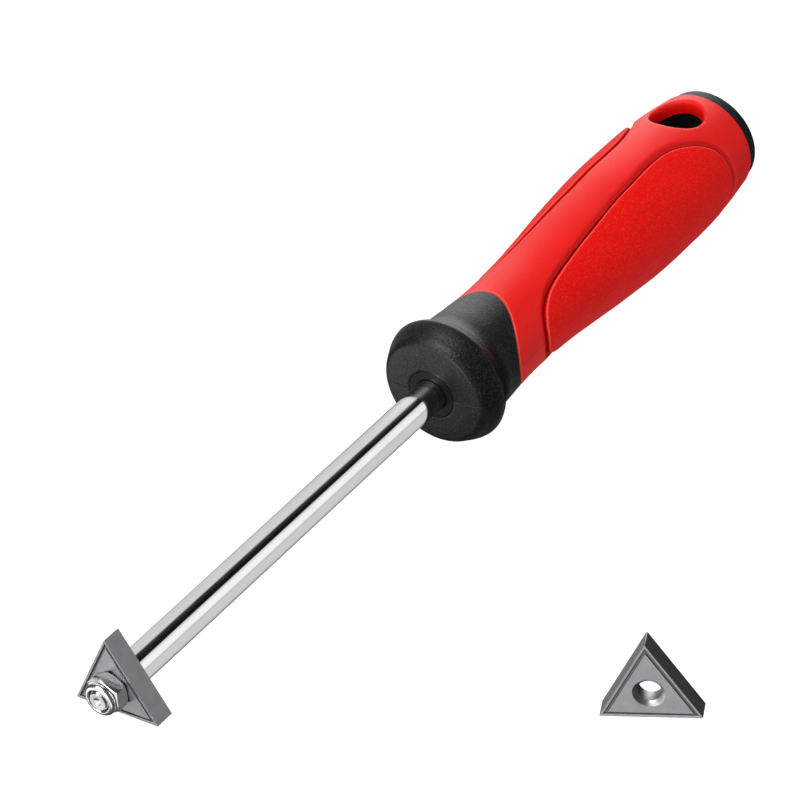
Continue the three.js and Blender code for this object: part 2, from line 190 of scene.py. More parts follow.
def turned(name, profile, steps=sides["small"]):
    # profile is (x, radius) along the tool; it is drawn as a line and spun round the tool's axis
    deselectAll()
    curve = bpy.data.curves.new(name, "CURVE")
    curve.dimensions = "3D"
    spline = curve.splines.new("POLY")
    spline.points.add(len(profile) - 1)
    for point, (x, radius) in zip(spline.points, profile):
        point.co = (*onTool(x, radius, 0), 1)
    piece = bpy.data.objects.new(name, curve)
    bpy.context.scene.collection.objects.link(piece)
    makeActive(piece)
    bpy.ops.object.convert(target="MESH")
    piece = bpy.context.object
    piece.name = name
    setMode("EDIT")
    bpy.ops.mesh.select_all(action="SELECT")
    bpy.ops.mesh.spin(steps=steps, angle=2 * pi, center=onTool(0, 0, 0), axis=(1, 0, 0))
    bpy.ops.mesh.select_all(action="SELECT")
    bpy.ops.mesh.remove_doubles(threshold=mergeWithin)
    bpy.ops.mesh.normals_make_consistent(inside=False)
    setMode("OBJECT")
    return piece


def tubeOf(name, rings):
    # a circle extruded once for each ring and closed at both ends, then moved onto the rings
    around, along = len(rings[0]), len(rings)
    deselectAll()
    bpy.ops.mesh.primitive_circle_add(vertices=around, radius=1, fill_type="NOTHING")
    piece = bpy.context.object
    piece.name = name
    setMode("EDIT")
    for _ in range(along - 1):
        bpy.ops.mesh.extrude_region_move(TRANSFORM_OT_translate={"value": (0, 0, 1)})
    bpy.ops.mesh.select_all(action="DESELECT")
    setMode("OBJECT")
    mesh = piece.data
    spots = [v.co.copy() for v in mesh.vertices]
    for vertex, spot in zip(mesh.vertices, spots):
        step = round((atan2(spot.y, spot.x) / (2 * pi)) * around) % around
        vertex.co = rings[round(spot.z)][step]
    for level in (0, along - 1):
        makeActive(piece)
        for vertex, spot in zip(mesh.vertices, spots):
            vertex.select = round(spot.z) == level
        setMode("EDIT")
        bpy.ops.mesh.select_mode(type="VERT")
        bpy.ops.mesh.edge_face_add()
        bpy.ops.mesh.poke()
        bpy.ops.mesh.select_all(action="SELECT")
        setMode("OBJECT")
        spots += [Vector((0, 0, -1)) for _ in range(len(mesh.vertices) - len(spots))]
    makeActive(piece)
    setMode("EDIT")
    bpy.ops.mesh.select_all(action="SELECT")
    bpy.ops.mesh.normals_make_consistent(inside=False)
    setMode("OBJECT")
    return piece


def remeshed(piece, voxel, easing):
    applyModifier(piece, "REMESH", mode="VOXEL", voxel_size=voxel)
    applyModifier(piece, "SMOOTH", factor=0.5, iterations=easing)


def smoothShading(piece, angle=35, weighted=True):
    # weighted normals keep flat faces flat next to their rounded edges
    makeActive(piece)
    bpy.ops.object.shade_smooth_by_angle(angle=radians(angle))
    if weighted:
        applyModifier(piece, "WEIGHTED_NORMAL", keep_sharp=True)


def finishPiece(piece, body, nodes, material):
    setInPlace(piece)
    piece.data.materials.clear()
    piece.data.materials.append(material)
    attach(piece, body)
    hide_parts(*nodes)
    print(piece.name, len(piece.data.polygons), "faces")


# small helpers for materials

def colour(hexText):
    # sRGB hex to the linear values that sockets take
    parts = [int(hexText[i:i + 2], 16) / 255 for i in (1, 3, 5)]
    linear = [c / 12.92 if c <= 0.04045 else ((c + 0.055) / 1.055) ** 2.4 for c in parts]
    return (*linear, 1)


def twoTones(look, positions):
    return list(zip(positions, (colour(look["dark"]), colour(look["light"]))))


def addNode(tree, kind, settings=None, links=None):
    # a number names a socket by its place, stops are the (position, colour) pairs of a colour ramp, and a
    # node that is linked from stands for its first output
    node = tree.nodes.new("ShaderNode" + kind)
    for name, value in (settings or {}).items():
        if name == "stops":
            elements = node.color_ramp.elements
            while len(elements) < len(value):
                elements.new(0.5)
            for element, (position, tone) in zip(elements, value):
                element.position = position
                element.color = tone
        elif isinstance(name, int) or name in node.inputs:
            node.inputs[name].default_value = value
        else:
            setattr(node, name, value)
    for name, source in (links or {}).items():
        tree.links.new(getattr(source, "outputs", [source])[0], node.inputs[name])
    return node


def newMaterial(name):
    material = bpy.data.materials.new(name)
    material.use_nodes = True
    tree = material.node_tree
    tree.nodes.clear()
    return material, tree, addNode(tree, "TexCoord").outputs["Object"]


# materials

# steel rod, drawn, ground and nickel-chrome plated: a near mirror with faint lines along it
chrome = {
    "colour": "#d3d3d3", "roughness": 0.07, "dullRoughness": 0.112,
    "haze": 6 * mm, "hazeStops": (0.35, 0.75),
    "lineLength": 14 * mm, "lineWidth": 0.16 * mm, "bump": 0.05, "depth": 0.02 * mm,
}


def chromePlatedSteel():
    material, tree, place = newMaterial("chromePlatedSteel")
    drawn = addNode(tree, "Mapping", {
        "Scale": (1 / chrome["lineLength"], 1 / chrome["lineWidth"], 1 / chrome["lineWidth"]),
    }, {"Vector": place})
    lines = addNode(tree, "TexNoise", {"Scale": 1, "Detail": 3}, {"Vector": drawn})
    haze = addNode(tree, "TexNoise", {"Scale": 1 / chrome["haze"], "Detail": 2}, {"Vector": place})
    dull = addNode(tree, "MapRange", {
        "From Min": chrome["hazeStops"][0], "From Max": chrome["hazeStops"][1],
        "To Min": chrome["roughness"], "To Max": chrome["dullRoughness"],
    }, {"Value": haze})
    bump = addNode(tree, "Bump", {
        "Strength": chrome["bump"], "Distance": chrome["depth"],
    }, {"Height": lines})
    shader = addNode(tree, "BsdfPrincipled", {"Base Color": colour(chrome["colour"]), "Metallic": 1}, {
        "Roughness": dull, "Normal": bump,
    })
    addNode(tree, "OutputMaterial", links={"Surface": shader})
    return material


# tungsten carbide, pressed and sintered, its faces left as sintered: grey satin metal with a fine grain and
# a soft cloudiness, with painted shade in the groove
carbide = {
    "dark": "#9b9c9d", "light": "#a4a5a6", "tones": (0.35, 0.65), "toneSize": 2.5 * mm, "toneDetail": 4,
    "paint": "groove", "paintedShade": "#2c2c2d",
    "grain": 0.18 * mm, "grainDetail": 2, "bump": 0.2, "depth": 0.02 * mm, "roughness": (0.34, 0.48),
}

# steel nut, cold forged and bright zinc plated: shiny, with soft uneven reflections
zinc = {
    "dark": "#dadbdb", "light": "#e6e7e7", "tones": (0.3, 0.6), "toneSize": 2.4 * mm, "toneDetail": 1,
    # painted shade on the faces that look back at the insert, under the seat and the collar
    "paint": "crease", "paintedShade": "#141414",
    "grain": 2.4 * mm, "grainDetail": 1, "bump": 0.15, "depth": 0.05 * mm, "roughness": (0.15, 0.26),
}


def unevenMetal(name, look):
    # two tones, a grain, and painted shade where the piece's own attribute says
    material, tree, place = newMaterial(name)
    grain = addNode(tree, "TexNoise", {
        "Scale": 1 / look["grain"], "Detail": look["grainDetail"],
    }, {"Vector": place})
    cloud = addNode(tree, "TexNoise", {
        "Scale": 1 / look["toneSize"], "Detail": look["toneDetail"],
    }, {"Vector": place})
    tone = addNode(tree, "ValToRGB", {"stops": twoTones(look, look["tones"])}, {"Fac": cloud})
    paintedShade = addNode(tree, "Attribute", {"attribute_name": look["paint"]}).outputs["Fac"]
    shaded = addNode(tree, "Mix", {"data_type": "RGBA", 7: colour(look["paintedShade"])}, {
        0: paintedShade, 6: tone,
    }).outputs[2]
    dull = addNode(tree, "MapRange", {
        "To Min": look["roughness"][0], "To Max": look["roughness"][1],
    }, {"Value": grain})
    bump = addNode(tree, "Bump", {"Strength": look["bump"], "Distance": look["depth"]}, {"Height": grain})
    shader = addNode(tree, "BsdfPrincipled", {"Metallic": 1}, {
        "Base Color": shaded, "Roughness": dull, "Normal": bump,
    })
    addNode(tree, "OutputMaterial", links={"Surface": shader})
    return material


# what all the moulded pieces share: the pits' size as a share of the grain's, how far the roughness varies,
# and where the parting line's flanks start and end, as shares of its width
moulded = {
    "tones": (0.35, 0.65), "coarseness": 0.6, "pits": 1.7, "shinier": 0.05, "duller": 0.07,
    "flank": (0.3, 0.7),
}


def grainedPlastic(name, look):
    # injection moulded plastic or elastomer: a spark-eroded grain, a faint cloudiness and, where the mould
    # halves meet, a parting line at the height of the tool's axis
    material, tree, place = newMaterial(name)
    grain = addNode(tree, "TexNoise", {
        "Scale": 1 / look["grain"], "Detail": 2, "Roughness": moulded["coarseness"],
    }, {"Vector": place})
    pits = addNode(tree, "TexVoronoi", {"Scale": 1 / (look["grain"] * moulded["pits"])}, {"Vector": place})
    cloud = addNode(tree, "TexNoise", {"Scale": 1 / look["cloud"], "Detail": 2}, {"Vector": place})
    tone = addNode(tree, "ValToRGB", {"stops": twoTones(look, moulded["tones"])}, {"Fac": cloud})
    speck = addNode(tree, "MapRange", {
        "From Min": look["speckFrom"], "From Max": look["speckTo"], "To Max": look["speckAmount"],
    }, {"Value": grain})
    layers = [(speck, look["speck"])]
    height = addNode(tree, "Math", {"operation": "SUBTRACT"}, {0: grain, 1: pits})
    if look.get("partingWidth"):
        part = addNode(tree, "SeparateXYZ", links={"Vector": place}).outputs
        above = addNode(tree, "Math", {"operation": "SUBTRACT", 1: toolLine["z"]}, {0: part["Z"]})
        away = addNode(tree, "Math", {"operation": "ABSOLUTE"}, {0: above})
        flankStart, flankEnd = (look["partingWidth"] * share for share in moulded["flank"])
        line = addNode(tree, "MapRange", {
            "From Min": flankStart, "From Max": flankEnd, "To Min": 1, "To Max": 0,
        }, {"Value": away})
        sunk = addNode(tree, "Math", {"operation": "MULTIPLY", 1: look["partingHeight"]}, {0: line})
        height = addNode(tree, "Math", {"operation": "ADD"}, {0: height, 1: sunk})
        faint = addNode(tree, "Math", {"operation": "MULTIPLY", 1: look["partingShade"]}, {0: line})
        layers.append((faint, look["partingColour"]))
    for mark in ("edge", "groove"):  # painted highlight along an edge, painted shade in the depth of a groove
        if look.get(mark):
            amount = addNode(tree, "Attribute", {"attribute_name": mark}).outputs["Fac"]
            layers.append((amount, look[mark]))
    for amount, layerColour in layers:
        tone = addNode(tree, "Mix", {"data_type": "RGBA", 7: colour(layerColour)}, {
            0: amount, 6: tone,
        }).outputs[2]
    dull = addNode(tree, "MapRange", {
        "To Min": look["roughness"] - moulded["shinier"], "To Max": look["roughness"] + moulded["duller"],
    }, {"Value": grain})
    bump = addNode(tree, "Bump", {"Strength": look["bump"], "Distance": look["depth"]}, {"Height": height})
    shader = addNode(tree, "BsdfPrincipled", {"IOR": look["ior"], "Specular IOR Level": look["specular"]}, {
        "Base Color": tone, "Roughness": dull, "Normal": bump,
    })
    addNode(tree, "OutputMaterial", links={"Surface": shader})
    return material


# polypropylene guard, injection moulded with a fine spark grain: charcoal with light specks. A real spark
# grain is too fine to show in the render, so here and on the rubber it is drawn as coarse as it needs.
guardPlastic = {
    "dark": "#0c0c0d", "light": "#101011", "cloud": 9 * mm,
    "speck": "#515457", "speckFrom": 0.55, "speckTo": 0.72, "speckAmount": 0.55,
    "grain": 0.32 * mm, "bump": 0.7, "depth": 0.06 * mm, "roughness": 0.4, "ior": 1.49, "specular": 0.3,
    "partingWidth": 0.22 * mm, "partingHeight": -4, "partingShade": 0.9, "partingColour": "#010101",
}

# the hard core that the grip is moulded on: plain black polypropylene
corePlastic = {
    "dark": "#0a0a0b", "light": "#0d0d0e", "cloud": 9 * mm,
    "speck": "#303234", "speckFrom": 0.66, "speckTo": 0.76, "speckAmount": 0.3,
    "grain": 0.45 * mm, "bump": 0.2, "depth": 0.05 * mm, "roughness": 0.5, "ior": 1.49, "specular": 0.2,
}

# thermoplastic rubber overmoulded on the core, from a smooth mould: satin red with a soft sheen
gripRubber = {
    "dark": "#ed0c07", "light": "#f30e08", "cloud": 12 * mm,
    "speck": "#ff3a2c", "speckFrom": 0.56, "speckTo": 0.74, "speckAmount": 0.45,
    "grain": 0.34 * mm, "bump": 0.25, "depth": 0.04 * mm, "roughness": 0.42, "ior": 1.5, "specular": 0.25,
    # edge is a painted highlight behind the grip's front edge, groove a painted shade in the pads' grooves
    "edge": "#ff5c50", "groove": "#cc0201",
    "partingWidth": 0.2 * mm, "partingHeight": -2, "partingShade": 0.45, "partingColour": "#7a0401",
}

# the pads: the same rubber from a spark-eroded mould, so it is duller and visibly grained
padRubber = {
    "dark": "#ec0904", "light": "#f20b06", "cloud": 9 * mm,
    "speck": "#ff4838", "speckFrom": 0.53, "speckTo": 0.69, "speckAmount": 0.52,
    "grain": 0.34 * mm, "bump": 0.7, "depth": 0.06 * mm, "roughness": 0.52, "ior": 1.5, "specular": 0.09,
    # edge is a painted highlight on the pad's rounded edge, groove a painted shade in its groove
    "edge": "#ff5c50", "groove": "#cc0201",
}

# end cap: hard ABS, satin, with a bluish black pigment
capPlastic = {
    "dark": "#14191c", "light": "#1a2024", "cloud": 9 * mm,
    "speck": "#4a5358", "speckFrom": 0.66, "speckTo": 0.76, "speckAmount": 0.3,
    "grain": 0.4 * mm, "bump": 0.15, "depth": 0.04 * mm, "roughness": 0.4, "ior": 1.53, "specular": 0.13,
}

# the nut's locking ring: plain nylon, slightly waxy
ringNylon = {
    "dark": "#24272b", "light": "#2b2f34", "cloud": 2 * mm,
    "speck": "#454a50", "speckFrom": 0.6, "speckTo": 0.8, "speckAmount": 0.3,
    "grain": 0.3 * mm, "bump": 0.1, "depth": 0.02 * mm, "roughness": 0.4, "ior": 1.53, "specular": 0.4,
}

platedSteel = chromePlatedSteel()
carbideSteel = unevenMetal("sinteredCarbide", carbide)
platedNut = unevenMetal("brightZincPlating", zinc)
ringMaterial = grainedPlastic("mouldedNylon", ringNylon)
guardMaterial = grainedPlastic("sparkGrainedPolypropylene", guardPlastic)
coreMaterial = grainedPlastic("plainPolypropylene", corePlastic)
gripMaterial = grainedPlastic("satinOvermouldedRubber", gripRubber)
padMaterial = grainedPlastic("sparkGrainedRubber", padRubber)
capMaterial = grainedPlastic("satinAbs", capPlastic)
print("materials made")

# carbide inserts

insert = {
    "side": 22 * mm,
    "thickness": 4.76 * mm,
    "cornerRadius": 0.2 * mm,
    "holeRadius": 2.58 * mm,
    "sinkRadius": 3.5 * mm,
    "sinkDepth": 0.9 * mm,
    "landWidth": 0.5 * mm,
    "grooveWall": 0.12 * mm,
    "grooveFloor": 0.42 * mm,
    "grooveDepth": 0.3 * mm,
    "grooveFade": 0.6,  # how much of its painted shade the groove loses towards its inner wall
    "edgeRound": 0.1 * mm,
}
insert["inradius"] = insert["side"] / (2 * sqrt(3))
spare = {"x": -55.905 * mm, "y": -49.1037 * mm, "yaw": radians(25)}


def modelInsert():
    # a three-sided cylinder, corner up, with a stepped groove on both faces
    deselectAll()
    bpy.ops.mesh.primitive_cylinder_add(
        vertices=3, radius=2 * insert["inradius"], depth=insert["thickness"],
        location=onTool(insert["thickness"] / 2, 0, 0), rotation=(pi / 2, 0, pi / 2),
    )
    piece = bpy.context.object
    setInPlace(piece)
    editSelected(piece, "FACE", lambda face: abs(face.normal.x) > 0.9)
    land, wall, bed, fall = (insert[k] for k in ("landWidth", "grooveWall", "grooveFloor", "grooveDepth"))
    for width, rise in ((land, 0), (wall, -fall), (bed, 0), (wall, fall)):
        bpy.ops.mesh.inset(thickness=width, depth=rise, use_individual=True)
    setMode("OBJECT")
    places = [vertex.co.x for vertex in piece.data.vertices]

    def isCorner(edge):
        start, end = edge.vertices
        return abs(places[start] - places[end]) > insert["thickness"] * 0.9

    editSelected(piece, "EDGE", isCorner)
    bpy.ops.mesh.bevel(offset=insert["cornerRadius"] * sqrt(3), segments=5, affect="EDGES")
    setMode("OBJECT")
    thick, hole, sink, deep = (insert[k] for k in ("thickness", "holeRadius", "sinkRadius", "sinkDepth"))
    combine(piece, turned("cutter", [
        (-cutPast, 0), (-cutPast, sink), (0, sink), (deep, hole),
        (thick - deep, hole), (thick, sink), (thick + cutPast, sink), (thick + cutPast, 0),
    ]))
    roundEdges(piece, insert["edgeRound"], 28)
    smoothShading(piece, 30)
    # painted shade in the groove, strongest along its outer wall
    groove = piece.data.attributes.new("groove", "FLOAT", "POINT")
    for vertex in piece.data.vertices:
        groove.data[vertex.index].value = grooveShadeShare(vertex.co)
    return piece


def grooveShadeShare(spot):
    # how much painted shade the groove gets: 1 along its outer wall, less along its inner one, 0 on the
    # faces
    x, radius, angle = placeOf(spot)
    below = min(x, insert["thickness"] - x)
    inwards = min(insert["inradius"] - radius * cos(angle - turn) for turn in (pi / 3, pi, -pi / 3))
    floorStart = insert["landWidth"] + insert["grooveWall"]
    grooveEnd = floorStart + insert["grooveFloor"] + insert["grooveWall"]
    if not insert["landWidth"] - insert["edgeRound"] < inwards < grooveEnd + insert["edgeRound"]:
        return 0
    across = min(1, max(0, (inwards - floorStart) / insert["grooveFloor"]))
    return min(1, below / insert["grooveDepth"]) * (1 - insert["grooveFade"] * across)


carbideInsert = modelInsert()
carbideInsert.name = "carbideInsert"
spareInsert = carbideInsert.copy()
spareInsert.data = carbideInsert.data.copy()
spareInsert.name = "spareInsert"
bpy.context.scene.collection.objects.link(spareInsert)
toMiddle = Matrix.Translation(-onTool(insert["thickness"] / 2, 0, 0))
toTable = Matrix.Translation((spare["x"], spare["y"], insert["inradius"]))
spareInsert.data.transform(toTable @ Matrix.Rotation(spare["yaw"], 4, "Z") @ toMiddle)
finishPiece(carbideInsert, "blade", ["carbide_insert"], carbideSteel)
finishPiece(spareInsert, "spare_blade", ["spare_insert"], carbideSteel)

# shank: rod, stud and wings

shank = {
    "radius": 3.9 * mm,
    "shoulderX": 4.81 * mm,
    "tailX": 207.61 * mm,
    "chamfer": 0.5 * mm,
    "edgeRound": 0.08 * mm,
    "studRadius": 2.42 * mm,
    "studTipX": -5.2 * mm,
    "studChamfer": 0.4 * mm,
    "markRadius": 0.95 * mm,
    "markDepth": 0.8 * mm,
    "markRound": 0.15 * mm,
    "wingStartX": 157.61 * mm,
    "wingSize": (16 * mm, 13 * mm, 2.4 * mm),
    "wingRound": 0.4 * mm,
}
thread = {
    "startX": shank["studTipX"] + shank["studChamfer"],
    "endX": shank["shoulderX"] - 0.6 * mm,
    "pitch": 0.8 * mm,
    "depth": 0.43 * mm,
    "step": 0.08 * mm,
    "root": 1.25,  # this and the next shape the groove: a flat root between two steep flanks
    "flank": 3,
    "leadIn": 0.3,  # how deep the groove starts at the tip
}


def cutThread(piece):
    # a right-handed thread, in the fine rings of the stud
    for vertex in piece.data.vertices:
        x, radius, angle = placeOf(vertex.co)
        onStud = thread["startX"] - touch < x < thread["endX"] + touch
        if onStud and radius > shank["studRadius"] - touch:
            phase = (x / thread["pitch"] - angle / (2 * pi)) % 1
            fromTip = (x - thread["startX"]) / thread["pitch"]
            toShoulder = (thread["endX"] - x) / thread["pitch"]
            ease = min(1, fromTip + thread["leadIn"], toShoulder)
            share = min(1, max(0, thread["root"] - abs(phase - 0.5) * thread["flank"]))
            vertex.co = onTool(x, radius - share * thread["depth"] * ease, angle)


studTip = withFillets([
    (shank["studTipX"] + shank["markDepth"], 0),
    (shank["studTipX"], shank["markRadius"]),
    (shank["studTipX"], shank["studRadius"] - shank["studChamfer"]),
], {1: shank["markRound"]})
threadSteps = round((thread["endX"] - thread["startX"]) / thread["step"])
threadLine = [(x, shank["studRadius"]) for x in evenSteps(thread["startX"], thread["endX"], threadSteps)]
rodLine = withFillets([
    (shank["shoulderX"], shank["studRadius"]),
    (shank["shoulderX"], shank["radius"] - shank["chamfer"]),
    (shank["shoulderX"] + shank["chamfer"], shank["radius"]),
    (shank["tailX"] - shank["chamfer"], shank["radius"]),
    (shank["tailX"], shank["radius"] - shank["chamfer"]),
    (shank["tailX"], 0),
], {corner: shank["edgeRound"] for corner in (1, 2, 3, 4)})
rod = turned("rodWithStud", studTip + threadLine + rodLine, sides["rod"])
cutThread(rod)
wingsX = shank["wingStartX"] + shank["wingSize"][0] / 2
bpy.ops.mesh.primitive_cube_add(size=1, location=onTool(wingsX, 0, 0))
wings = bpy.context.object
wings.scale = shank["wingSize"]
setInPlace(wings)
applyModifier(wings, "BEVEL", width=shank["wingRound"], segments=2)
combine(rod, wings, "UNION")
smoothShading(rod, 40)
finishPiece(rod, "scraper_body", ["shank"], platedSteel)

# lock nut and its ring

nut = {
    "flatRadius": 4 * mm,
    "seatX": -0.05 * mm,
    "hexHeight": 3.5 * mm,
    "height": 5 * mm,
    "cornerCut": 0.85 * mm,
    "collarRadius": 3.88 * mm,
    "collarRound": 0.85 * mm,
    "creaseDepth": 0.22 * mm,
    "boreRadius": 2.515 * mm,
    "mouthRadius": 2.62 * mm,
    "mouthCut": 0.25 * mm,
    "lip": 0.35 * mm,
    "edgeRound": 0.11 * mm,
}
ring = {
    "radius": 3.25 * mm,
    "height": 1 * mm,
    "play": 0.05 * mm,  # to the nut, in front and behind
    "roomRadius": 3.34 * mm,
    "edgeRound": 0.1 * mm,
    "frontRound": 0.15 * mm,
}
hexEndX = nut["seatX"] - nut["hexHeight"]
nutFrontX = nut["seatX"] - nut["height"]
cornerRadius = nut["flatRadius"] / cos(pi / 6)
deselectAll()
bpy.ops.mesh.primitive_cylinder_add(
    vertices=6, radius=cornerRadius, depth=nut["hexHeight"],
    location=onTool((hexEndX + nut["seatX"]) / 2, 0, 0), rotation=(pi / 2, 0, pi / 2),
)
lockNut = bpy.context.object
lockNut.name = "lockNut"
setInPlace(lockNut)
combine(lockNut, turned("chamfers", [
    (hexEndX - touch, 0),
    (hexEndX - touch, cornerRadius - nut["cornerCut"]),
    (hexEndX + nut["cornerCut"] / 2, cornerRadius + touch),
    (nut["seatX"] - nut["cornerCut"] * 0.6, cornerRadius + touch),
    (nut["seatX"] + touch, cornerRadius - nut["cornerCut"]),
    (nut["seatX"] + touch, 0),
]), "INTERSECT")
combine(lockNut, turned("collar", withFillets([
    (hexEndX + cutPast, 0),
    (hexEndX + cutPast, nut["collarRadius"] - nut["creaseDepth"]),
    (hexEndX, nut["collarRadius"] - nut["creaseDepth"]),
    (hexEndX - nut["creaseDepth"], nut["collarRadius"]),
    (nutFrontX, nut["collarRadius"]),
    (nutFrontX, 0),
], {4: nut["collarRound"]})), "UNION")
roomFrontX = nutFrontX + nut["lip"]
roomBackX = roomFrontX + ring["height"] + 2 * ring["play"]
combine(lockNut, turned("bore", [
    (nutFrontX - cutPast, 0),
    (nutFrontX - cutPast, nut["mouthRadius"] + nut["mouthCut"]),
    (nutFrontX, nut["mouthRadius"] + nut["mouthCut"]),
    (nutFrontX + nut["mouthCut"], nut["mouthRadius"]),
    (roomFrontX, nut["mouthRadius"]),
    (roomFrontX, ring["roomRadius"]),
    (roomBackX, ring["roomRadius"]),
    (roomBackX, nut["boreRadius"]),
    (nut["seatX"] + cutPast, nut["boreRadius"]),
    (nut["seatX"] + cutPast, 0),
]))
roundEdges(lockNut, nut["edgeRound"], 25)
smoothShading(lockNut, 30)
crease = lockNut.data.attributes.new("crease", "FLOAT", "FACE")
for face in lockNut.data.polygons:  # painted shade where it looks back at the insert, under the seat and the collar
    crease.data[face.index].value = face.normal.x > 0.2 and placeOf(face.center)[1] > ring["radius"]
finishPiece(lockNut, "nut", ["lock_nut"], platedNut)

ringFrontX = roomFrontX + ring["play"]
ringSeam = (ringFrontX + ring["height"] / 2, nut["boreRadius"])
lockRing = turned("lockRing", withFillets([
    ringSeam,
    (ringFrontX + ring["height"], nut["boreRadius"]),
    (ringFrontX + ring["height"], ring["radius"]),
    (ringFrontX, ring["radius"]),
    (ringFrontX, nut["boreRadius"]),
    ringSeam,
], {1: ring["edgeRound"], 2: ring["edgeRound"], 3: ring["edgeRound"], 4: ring["frontRound"]}))
smoothShading(lockRing, 40)
finishPiece(lockRing, "nut_ring", ["lock_ring"], ringMaterial)
print("insert, rod and nut modelled")

# the handle's outline, shared by the neck, the grip and the pads

handle = {
    "faceX": 117.61 * mm,
    "length": 121.6 * mm,
    "bellyRadius": 15.6 * mm,
    "neckEndX": 139.66 * mm,  # where the black neck ends, halfway along its wave
    "wave": 4.15 * mm,
    "waveFromX": 130 * mm,
    "waveToX": 147.6 * mm,
    "gap": 0.15 * mm,
    "sleeveEndX": 235.51 * mm,
    "step": 0.6 * mm,
}
gripShares = [
    (0.094, 0.846), (0.127, 0.82), (0.157, 0.8), (0.207, 0.778), (0.233, 0.772), (0.258, 0.773),
    (0.308, 0.779), (0.359, 0.798), (0.411, 0.835), (0.463, 0.876), (0.516, 0.918), (0.569, 0.952),
    (0.622, 0.983), (0.676, 0.998), (0.73, 1), (0.785, 0.997), (0.84, 0.984), (0.896, 0.953),
    (0.952, 0.896), (0.974, 0.872), (1, 0.82),
]
gripLine = drawnLine([
    (handle["faceX"] + along * handle["length"], out * handle["bellyRadius"]) for along, out in gripShares
])


def gripRadius(x):
    return readLine(gripLine, x)


def waveEdge(piece, stillX):
    # the neck's end and the grip's front follow one wave: two tongues, at the top and at the bottom
    for vertex in piece.data.vertices:
        x, radius, angle = placeOf(vertex.co)
        share = smoothStep((x - stillX) / (handle["neckEndX"] - stillX))
        newX = x + handle["wave"] * cos(2 * angle) * share
        vertex.co = onTool(newX, radius * gripRadius(newX) / gripRadius(x), angle)


def outlineFrom(startX, endX):
    count = max(2, round((endX - startX) / handle["step"]))
    return [(x, gripRadius(x)) for x in evenSteps(startX, endX, count)]


# front guard: its face, and its band from the rim's ridge to the neck, meet in a rounded edge

guard = {
    "length": 8.3 * mm,
    "radius": 15.61 * mm,
    "edgeX": 0.75 * mm,
    "edgeRadius": 12.6 * mm,
    "edgeRound": 1.4 * mm,
    "faceSwell": (0.42, 0.8),  # a point between the nose hole and the edge, as shares of the edge's place
    "noseHole": 6.09 * mm,
    "mouthCut": 0.18 * mm,
    "mouthTurn": 0.05 * mm,
    "boreRadius": 8.8 * mm,
    "wall": 3.2 * mm,
    "neckCut": (0.15 * mm, 0.2 * mm),
}
guardShares = [
    (0.21, 0.868), (0.386, 0.918), (0.602, 0.972), (0.74, 0.996), (0.8, 1), (0.86, 0.993), (1, 0.955),
    (1.145, 0.895),
]
guardFace = drawnLine([
    (0, guard["noseHole"] + guard["mouthCut"]),
    (guard["edgeX"] * guard["faceSwell"][0], guard["edgeRadius"] * guard["faceSwell"][1]),
    (guard["edgeX"], guard["edgeRadius"]),
])
guardBand = drawnLine(
    [(guard["edgeX"], guard["edgeRadius"])]
    + [(along * guard["length"], out * guard["radius"]) for along, out in guardShares]
    + [(x - handle["faceX"], radius) for x, radius in gripLine[:30:10]]
)
edgeFillet = rounded(guardFace[-1], guardFace[-4], guardBand[4], guard["edgeRound"])
guardLine = [(handle["faceX"] + x, radius) for x, radius in guardFace[:-3] + edgeFillet + guardBand[4:]]
neckStartX, neckEndX = gripLine[20][0], handle["neckEndX"] - handle["gap"]
frontGuard = turned("frontGuard", [
    (handle["faceX"] + guard["mouthCut"], guard["noseHole"]),
    (handle["faceX"] + guard["mouthTurn"], guard["noseHole"] + guard["mouthTurn"]),
] + guardLine + outlineFrom(neckStartX, neckEndX - guard["neckCut"][0])[1:] + [
    (neckEndX, gripRadius(handle["neckEndX"]) - guard["neckCut"][1]),
    (neckEndX, guard["boreRadius"]),
    (handle["faceX"] + guard["wall"], guard["boreRadius"]),
    (handle["faceX"] + guard["wall"], guard["noseHole"]),
    (handle["faceX"] + guard["mouthCut"], guard["noseHole"]),
], sides["handle"])
waveEdge(frontGuard, handle["waveFromX"])
smoothShading(frontGuard, 40)
finishPiece(frontGuard, "scraper_body", ["front_guard"], guardMaterial)

# handle core

core = {
    "noseRadius": 6 * mm,
    "noseRound": 0.14 * mm,
    "boreRadius": 3.99 * mm,
    "mouthRound": 0.18 * mm,
    "neckRadius": 8.5 * mm,
    "stepX": 121.11 * mm,
    "neckEndX": 142 * mm,
    "tailX": 207.91 * mm,
    "sleeveWall": 3.4 * mm,
    "clearance": 0.3 * mm,
    "socketRadius": 6.1 * mm,
    "socketX": 234.21 * mm,
    "steps": 60,
}
coreLine = []
for x in evenSteps(core["neckEndX"], handle["sleeveEndX"], core["steps"]):
    coreLine.append((x, max(core["neckRadius"], gripRadius(x) - core["sleeveWall"] - core["clearance"])))
handleCore = turned("handleCore", withFillets([
    (core["tailX"], 0),
    (core["tailX"], core["boreRadius"]),
    (handle["faceX"], core["boreRadius"]),
    (handle["faceX"], core["noseRadius"]),
    (core["stepX"], core["noseRadius"]),
    (core["stepX"], core["neckRadius"]),
] + coreLine + [
    (handle["sleeveEndX"], core["socketRadius"]),
    (core["socketX"], core["socketRadius"]),
    (core["socketX"], 0),
], {2: core["mouthRound"], 3: core["noseRound"]}), sides["rod"])

# hang hole, one cutter for the core and one for the grip

hangHole = {
    "x": 225.01 * mm,
    "radius": 6.3 * mm,
    "reach": 18 * mm,
    "flare": [  # (how far the rim is let out, height over the grip's surface), from the outside in
        (1.2 * mm, 1.2 * mm), (1.02 * mm, 0.05 * mm), (0.62 * mm, -0.12 * mm), (0.34 * mm, -0.45 * mm),
        (0.14 * mm, -1.1 * mm), (0, -2 * mm), (0, -3 * mm),
    ],
}


